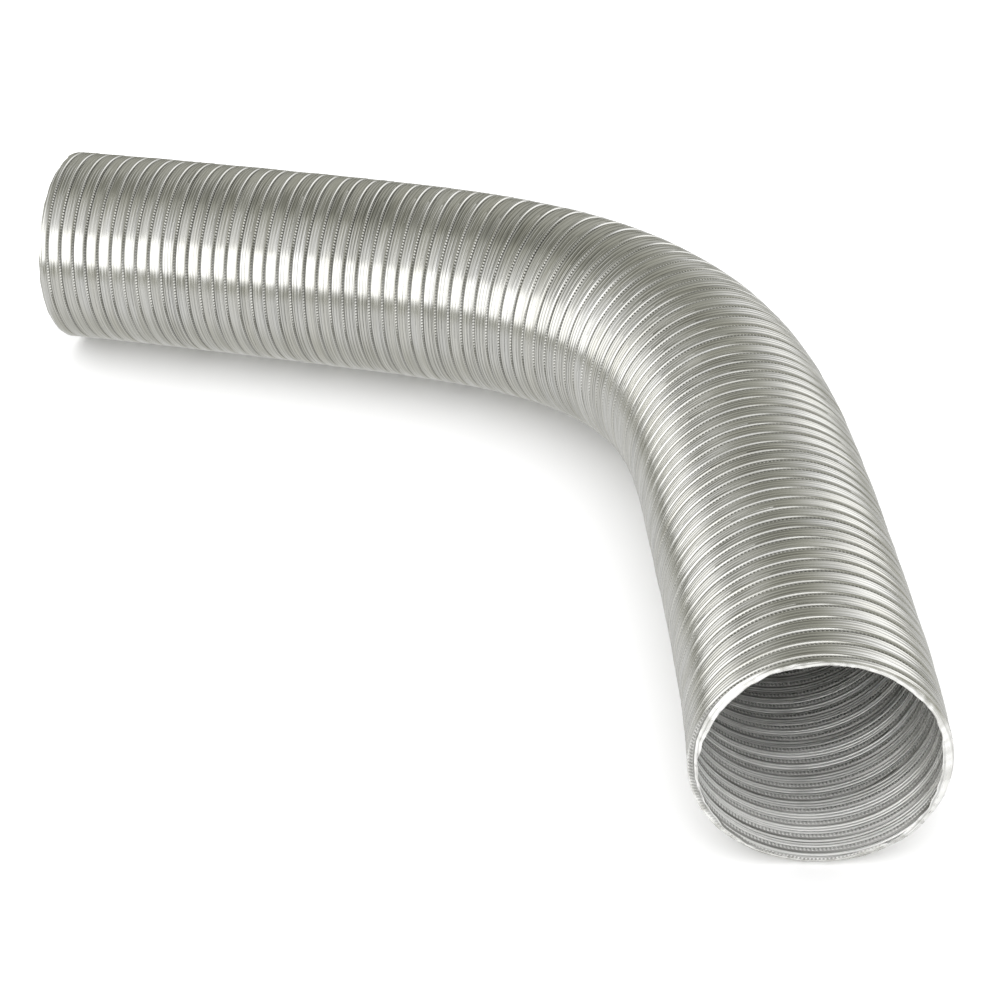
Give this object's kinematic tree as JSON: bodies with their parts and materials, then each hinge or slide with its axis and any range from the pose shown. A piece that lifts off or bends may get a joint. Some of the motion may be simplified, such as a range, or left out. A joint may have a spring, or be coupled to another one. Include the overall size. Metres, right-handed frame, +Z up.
{
  "type": "flexible air duct",
  "caption": "Semi-rigid flexible aluminium air duct with spiral lock seams, bent in a left-hand elbow, open at both ends.",
  "frame": {"origin": "on the floor plane, under the centre of the near mouth", "axes": "+Z up, +Y along the near end axis into the duct; the duct bends towards -X"},
  "size_m": [0.4481, 0.5198, 0.106],
  "materials": {
    "duct_strip": "bright rolled aluminium strip, finely ribbed, with knurled seams"
  },
  "bodies": {
    "turns_01_03": {"turns_01_03": "duct_strip"},
    "turns_04_06": {"turns_04_06": "duct_strip"},
    "turns_07_09": {"turns_07_09": "duct_strip"},
    "turns_10_12": {"turns_10_12": "duct_strip"},
    "turns_13_15": {"turns_13_15": "duct_strip"},
    "turns_16_18": {"turns_16_18": "duct_strip"},
    "turns_19_21": {"turns_19_21": "duct_strip"},
    "turns_22_24": {"turns_22_24": "duct_strip"},
    "turns_25_27": {"turns_25_27": "duct_strip"},
    "turn_28": {"turn_28": "duct_strip"},
    "turn_29": {"turn_29": "duct_strip"},
    "turn_30": {"turn_30": "duct_strip"},
    "turn_31": {"turn_31": "duct_strip"},
    "turn_32": {"turn_32": "duct_strip"},
    "turn_33": {"turn_33": "duct_strip"},
    "turn_34": {"turn_34": "duct_strip"},
    "turn_35": {"turn_35": "duct_strip"},
    "turn_36": {"turn_36": "duct_strip"},
    "turn_37": {"turn_37": "duct_strip"},
    "turn_38": {"turn_38": "duct_strip"},
    "turn_39": {"turn_39": "duct_strip"},
    "turn_40": {"turn_40": "duct_strip"},
    "turn_41": {"turn_41": "duct_strip"},
    "turn_42": {"turn_42": "duct_strip"},
    "turn_43": {"turn_43": "duct_strip"},
    "turn_44": {"turn_44": "duct_strip"},
    "turn_45": {"turn_45": "duct_strip"},
    "turn_46": {"turn_46": "duct_strip"},
    "turn_47": {"turn_47": "duct_strip"},
    "turn_48": {"turn_48": "duct_strip"},
    "turn_49": {"turn_49": "duct_strip"},
    "turn_50": {"turn_50": "duct_strip"},
    "turn_51": {"turn_51": "duct_strip"},
    "turn_52": {"turn_52": "duct_strip"},
    "turn_53": {"turn_53": "duct_strip"},
    "turn_54": {"turn_54": "duct_strip"},
    "turn_55": {"turn_55": "duct_strip"},
    "turn_56": {"turn_56": "duct_strip"},
    "turn_57": {"turn_57": "duct_strip"},
    "turns_58_60": {"turns_58_60": "duct_strip"},
    "turns_61_63": {"turns_61_63": "duct_strip"},
    "turns_64_66": {"turns_64_66": "duct_strip"},
    "turns_67_69": {"turns_67_69": "duct_strip"},
    "turns_70_72": {"turns_70_72": "duct_strip"},
    "turns_73_75": {"turns_73_75": "duct_strip"},
    "turns_76_78": {"turns_76_78": "duct_strip"},
    "turns_79_81": {"turns_79_81": "duct_strip"},
    "turns_82_84": {"turns_82_84": "duct_strip"}
  },
  "joints": [
    {"name": "near_end_bend", "type": "hinge", "parent": "turns_04_06", "child": "turns_01_03", "pos_m": [-0.053, 0.02265, 0.053], "axis": [0, 0, -1], "range_deg": [-1.93, 2]},
    {"name": "near_end_bend_06_07", "type": "hinge", "parent": "turns_07_09", "child": "turns_04_06", "pos_m": [-0.05376, 0.04529, 0.053], "axis": [0, 0, -1], "range_deg": [-1.18, 1.22]},
    {"name": "near_arm_lift_09_10", "type": "hinge", "parent": "turns_10_12", "child": "turns_07_09", "pos_m": [-0.00211, 0.07144, 0.106], "axis": [-0.9982, -0.0605, 0], "range_deg": [0, 4.5]},
    {"name": "near_arm_stretch_12_13", "type": "slide", "parent": "turns_13_15", "child": "turns_10_12", "axis": [0.0706, -0.9975, 0], "range_m": [0, 0.008]},
    {"name": "near_arm_lift_15_16", "type": "hinge", "parent": "turns_16_18", "child": "turns_13_15", "pos_m": [-0.00536, 0.1173, 0.106], "axis": [-0.997, -0.077, 0], "range_deg": [0, 4.5]},
    {"name": "near_arm_stretch_18_19", "type": "slide", "parent": "turns_19_21", "child": "turns_16_18", "axis": [0.0816, -0.9967, 0], "range_m": [0, 0.008]},
    {"name": "near_arm_stretch", "type": "slide", "parent": "turns_22_24", "child": "turns_19_21", "axis": [0.0865, -0.9963, 0], "range_m": [0, 0.008]},
    {"name": "near_arm_lift", "type": "hinge", "parent": "turns_25_27", "child": "turns_22_24", "pos_m": [-0.01118, 0.18617, 0.106], "axis": [-0.9954, -0.0953, 0], "range_deg": [0, 4.5]},
    {"name": "elbow_bend_27_28", "type": "hinge", "parent": "turn_28", "child": "turns_25_27", "pos_m": [-0.0662, 0.20333, 0.053], "axis": [0, 0, -1], "range_deg": [-0.89, 0.4]},
    {"name": "elbow_bend_28_29", "type": "hinge", "parent": "turn_29", "child": "turn_28", "pos_m": [-0.06708, 0.21083, 0.053], "axis": [0, 0, -1], "range_deg": [-0.6425, 0.286]},
    {"name": "elbow_bend_29_30", "type": "hinge", "parent": "turn_30", "child": "turn_29", "pos_m": [-0.06805, 0.21832, 0.053], "axis": [0, 0, -1], "range_deg": [-0.81, 0.36]},
    {"name": "elbow_bend_30_31", "type": "hinge", "parent": "turn_31", "child": "turn_30", "pos_m": [-0.06912, 0.22579, 0.053], "axis": [0, 0, -1], "range_deg": [-1.01, 0.45]},
    {"name": "elbow_bend_31_32", "type": "hinge", "parent": "turn_32", "child": "turn_31", "pos_m": [-0.07032, 0.23325, 0.053], "axis": [0, 0, -1], "range_deg": [-1.23, 0.55]},
    {"name": "elbow_bend_32_33", "type": "hinge", "parent": "turn_33", "child": "turn_32", "pos_m": [-0.07168, 0.24067, 0.053], "axis": [0, 0, -1], "range_deg": [-1.49, 0.66]},
    {"name": "elbow_bend_33_34", "type": "hinge", "parent": "turn_34", "child": "turn_33", "pos_m": [-0.07324, 0.24806, 0.053], "axis": [0, 0, -1], "range_deg": [-1.76, 0.78]},
    {"name": "elbow_bend_34_35", "type": "hinge", "parent": "turn_35", "child": "turn_34", "pos_m": [-0.07502, 0.2554, 0.053], "axis": [0, 0, -1], "range_deg": [-2.04, 0.91]},
    {"name": "elbow_bend_35_36", "type": "hinge", "parent": "turn_36", "child": "turn_35", "pos_m": [-0.07706, 0.26267, 0.053], "axis": [0, 0, -1], "range_deg": [-2.34, 1.04]},
    {"name": "elbow_bend_36_37", "type": "hinge", "parent": "turn_37", "child": "turn_36", "pos_m": [-0.0794, 0.26985, 0.053], "axis": [0, 0, -1], "range_deg": [-2.63, 1.17]},
    {"name": "elbow_bend_37_38", "type": "hinge", "parent": "turn_38", "child": "turn_37", "pos_m": [-0.08206, 0.27691, 0.053], "axis": [0, 0, -1], "range_deg": [-2.9, 1.29]},
    {"name": "elbow_bend_38_39", "type": "hinge", "parent": "turn_39", "child": "turn_38", "pos_m": [-0.08508, 0.28383, 0.053], "axis": [0, 0, -1], "range_deg": [-3.15, 1.4]},
    {"name": "elbow_bend_39_40", "type": "hinge", "parent": "turn_40", "child": "turn_39", "pos_m": [-0.08847, 0.29058, 0.053], "axis": [0, 0, -1], "range_deg": [-3.36, 1.49]},
    {"name": "elbow_bend_40_41", "type": "hinge", "parent": "turn_41", "child": "turn_40", "pos_m": [-0.09225, 0.29711, 0.053], "axis": [0, 0, -1], "range_deg": [-3.52, 1.57]},
    {"name": "elbow_bend_41_42", "type": "hinge", "parent": "turn_42", "child": "turn_41", "pos_m": [-0.09642, 0.3034, 0.053], "axis": [0, 0, -1], "range_deg": [-3.62, 1.61]},
    {"name": "elbow_bend", "type": "hinge", "parent": "turn_42", "child": "turn_43", "pos_m": [-0.10099, 0.30942, 0.053], "axis": [0, 0, 1], "range_deg": [-3.67, 1.63]},
    {"name": "elbow_bend_43_44", "type": "hinge", "parent": "turn_43", "child": "turn_44", "pos_m": [-0.10593, 0.31513, 0.053], "axis": [0, 0, 1], "range_deg": [-3.65, 1.62]},
    {"name": "elbow_bend_44_45", "type": "hinge", "parent": "turn_44", "child": "turn_45", "pos_m": [-0.11122, 0.32051, 0.053], "axis": [0, 0, 1], "range_deg": [-3.57, 1.59]},
    {"name": "elbow_bend_45_46", "type": "hinge", "parent": "turn_45", "child": "turn_46", "pos_m": [-0.11684, 0.32556, 0.053], "axis": [0, 0, 1], "range_deg": [-3.43, 1.52]},
    {"name": "elbow_bend_46_47", "type": "hinge", "parent": "turn_46", "child": "turn_47", "pos_m": [-0.12275, 0.33026, 0.053], "axis": [0, 0, 1], "range_deg": [-3.24, 1.44]},
    {"name": "elbow_bend_47_48", "type": "hinge", "parent": "turn_47", "child": "turn_48", "pos_m": [-0.12891, 0.33461, 0.053], "axis": [0, 0, 1], "range_deg": [-3, 1.34]},
    {"name": "elbow_bend_48_49", "type": "hinge", "parent": "turn_48", "child": "turn_49", "pos_m": [-0.13529, 0.33864, 0.053], "axis": [0, 0, 1], "range_deg": [-2.74, 1.22]},
    {"name": "elbow_bend_49_50", "type": "hinge", "parent": "turn_49", "child": "turn_50", "pos_m": [-0.14186, 0.34236, 0.053], "axis": [0, 0, 1], "range_deg": [-2.45, 1.09]},
    {"name": "elbow_bend_50_51", "type": "hinge", "parent": "turn_50", "child": "turn_51", "pos_m": [-0.14859, 0.3458, 0.053], "axis": [0, 0, 1], "range_deg": [-2.16, 0.96]},
    {"name": "elbow_bend_51_52", "type": "hinge", "parent": "turn_51", "child": "turn_52", "pos_m": [-0.15543, 0.34898, 0.053], "axis": [0, 0, 1], "range_deg": [-1.87, 0.83]},
    {"name": "elbow_bend_52_53", "type": "hinge", "parent": "turn_52", "child": "turn_53", "pos_m": [-0.16238, 0.35194, 0.053], "axis": [0, 0, 1], "range_deg": [-1.59, 0.71]},
    {"name": "elbow_bend_53_54", "type": "hinge", "parent": "turn_53", "child": "turn_54", "pos_m": [-0.16941, 0.3547, 0.053], "axis": [0, 0, 1], "range_deg": [-1.33, 0.59]},
    {"name": "elbow_bend_54_55", "type": "hinge", "parent": "turn_54", "child": "turn_55", "pos_m": [-0.1765, 0.35729, 0.053], "axis": [0, 0, 1], "range_deg": [-1.09, 0.49]},
    {"name": "elbow_bend_55_56", "type": "hinge", "parent": "turn_55", "child": "turn_56", "pos_m": [-0.18364, 0.35975, 0.053], "axis": [0, 0, 1], "range_deg": [-0.88, 0.39]},
    {"name": "elbow_bend_56_57", "type": "hinge", "parent": "turn_56", "child": "turn_57", "pos_m": [-0.19081, 0.36211, 0.053], "axis": [0, 0, 1], "range_deg": [-0.7, 0.31]},
    {"name": "elbow_bend_57_58", "type": "hinge", "parent": "turn_57", "child": "turns_58_60", "pos_m": [-0.19801, 0.36437, 0.053], "axis": [0, 0, 1], "range_deg": [-0.97, 0.43]},
    {"name": "far_arm_lift", "type": "hinge", "parent": "turns_58_60", "child": "turns_61_63", "pos_m": [-0.20538, 0.42181, 0.106], "axis": [0.2772, 0.9608, 0], "range_deg": [0, 4.5]},
    {"name": "far_arm_stretch", "type": "slide", "parent": "turns_61_63", "child": "turns_64_66", "axis": [-0.9634, 0.2682, 0], "range_m": [0, 0.008]},
    {"name": "far_arm_stretch_66_67", "type": "slide", "parent": "turns_64_66", "child": "turns_67_69", "axis": [-0.9645, 0.2639, 0], "range_m": [0, 0.008]},
    {"name": "far_arm_lift_69_70", "type": "hinge", "parent": "turns_67_69", "child": "turns_70_72", "pos_m": [-0.27149, 0.44007, 0.106], "axis": [0.2609, 0.9654, 0], "range_deg": [0, 4.5]},
    {"name": "far_arm_stretch_72_73", "type": "slide", "parent": "turns_70_72", "child": "turns_73_75", "axis": [-0.9664, 0.2571, 0], "range_m": [0, 0.008]},
    {"name": "far_arm_lift_75_76", "type": "hinge", "parent": "turns_73_75", "child": "turns_76_78", "pos_m": [-0.31589, 0.45187, 0.106], "axis": [0.2512, 0.9679, 0], "range_deg": [0, 4.5]},
    {"name": "far_end_bend_78_79", "type": "hinge", "parent": "turns_76_78", "child": "turns_79_81", "pos_m": [-0.35096, 0.40613, 0.053], "axis": [0, 0, 1], "range_deg": [-0.7, 1.22]},
    {"name": "far_end_bend", "type": "hinge", "parent": "turns_79_81", "child": "turns_82_84", "pos_m": [-0.37297, 0.41147, 0.053], "axis": [0, 0, 1], "range_deg": [-1.15, 2]}
  ],
  "couplings": [
    {"joint": "near_end_bend_06_07", "follows": "near_end_bend", "ratio": 0.61159},
    {"joint": "near_arm_lift_09_10", "follows": "near_arm_lift", "ratio": 1},
    {"joint": "near_arm_stretch_12_13", "follows": "near_arm_stretch", "ratio": 1},
    {"joint": "near_arm_lift_15_16", "follows": "near_arm_lift", "ratio": 1},
    {"joint": "near_arm_stretch_18_19", "follows": "near_arm_stretch", "ratio": 1},
    {"joint": "elbow_bend_27_28", "follows": "elbow_bend", "ratio": 0.24208},
    {"joint": "elbow_bend_28_29", "follows": "elbow_bend", "ratio": 0.17516},
    {"joint": "elbow_bend_29_30", "follows": "elbow_bend", "ratio": 0.22123},
    {"joint": "elbow_bend_30_31", "follows": "elbow_bend", "ratio": 0.27511},
    {"joint": "elbow_bend_31_32", "follows": "elbow_bend", "ratio": 0.33661},
    {"joint": "elbow_bend_32_33", "follows": "elbow_bend", "ratio": 0.40505},
    {"joint": "elbow_bend_33_34", "follows": "elbow_bend", "ratio": 0.47923},
    {"joint": "elbow_bend_34_35", "follows": "elbow_bend", "ratio": 0.55736},
    {"joint": "elbow_bend_35_36", "follows": "elbow_bend", "ratio": 0.63717},
    {"joint": "elbow_bend_36_37", "follows": "elbow_bend", "ratio": 0.71591},
    {"joint": "elbow_bend_37_38", "follows": "elbow_bend", "ratio": 0.79056},
    {"joint": "elbow_bend_38_39", "follows": "elbow_bend", "ratio": 0.85795},
    {"joint": "elbow_bend_39_40", "follows": "elbow_bend", "ratio": 0.91504},
    {"joint": "elbow_bend_40_41", "follows": "elbow_bend", "ratio": 0.95908},
    {"joint": "elbow_bend_41_42", "follows": "elbow_bend", "ratio": 0.98789},
    {"joint": "elbow_bend_43_44", "follows": "elbow_bend", "ratio": 0.99477},
    {"joint": "elbow_bend_44_45", "follows": "elbow_bend", "ratio": 0.97247},
    {"joint": "elbow_bend_45_46", "follows": "elbow_bend", "ratio": 0.93426},
    {"joint": "elbow_bend_46_47", "follows": "elbow_bend", "ratio": 0.88205},
    {"joint": "elbow_bend_47_48", "follows": "elbow_bend", "ratio": 0.81838},
    {"joint": "elbow_bend_48_49", "follows": "elbow_bend", "ratio": 0.74621},
    {"joint": "elbow_bend_49_50", "follows": "elbow_bend", "ratio": 0.66868},
    {"joint": "elbow_bend_50_51", "follows": "elbow_bend", "ratio": 0.58889},
    {"joint": "elbow_bend_51_52", "follows": "elbow_bend", "ratio": 0.50971},
    {"joint": "elbow_bend_52_53", "follows": "elbow_bend", "ratio": 0.43363},
    {"joint": "elbow_bend_53_54", "follows": "elbow_bend", "ratio": 0.36263},
    {"joint": "elbow_bend_54_55", "follows": "elbow_bend", "ratio": 0.29813},
    {"joint": "elbow_bend_55_56", "follows": "elbow_bend", "ratio": 0.24102},
    {"joint": "elbow_bend_56_57", "follows": "elbow_bend", "ratio": 0.19168},
    {"joint": "elbow_bend_57_58", "follows": "elbow_bend", "ratio": 0.2658},
    {"joint": "far_arm_stretch_66_67", "follows": "far_arm_stretch", "ratio": 1},
    {"joint": "far_arm_lift_69_70", "follows": "far_arm_lift", "ratio": 1},
    {"joint": "far_arm_stretch_72_73", "follows": "far_arm_stretch", "ratio": 1},
    {"joint": "far_arm_lift_75_76", "follows": "far_arm_lift", "ratio": 1},
    {"joint": "far_end_bend_78_79", "follows": "far_end_bend", "ratio": 0.61167}
  ]
}
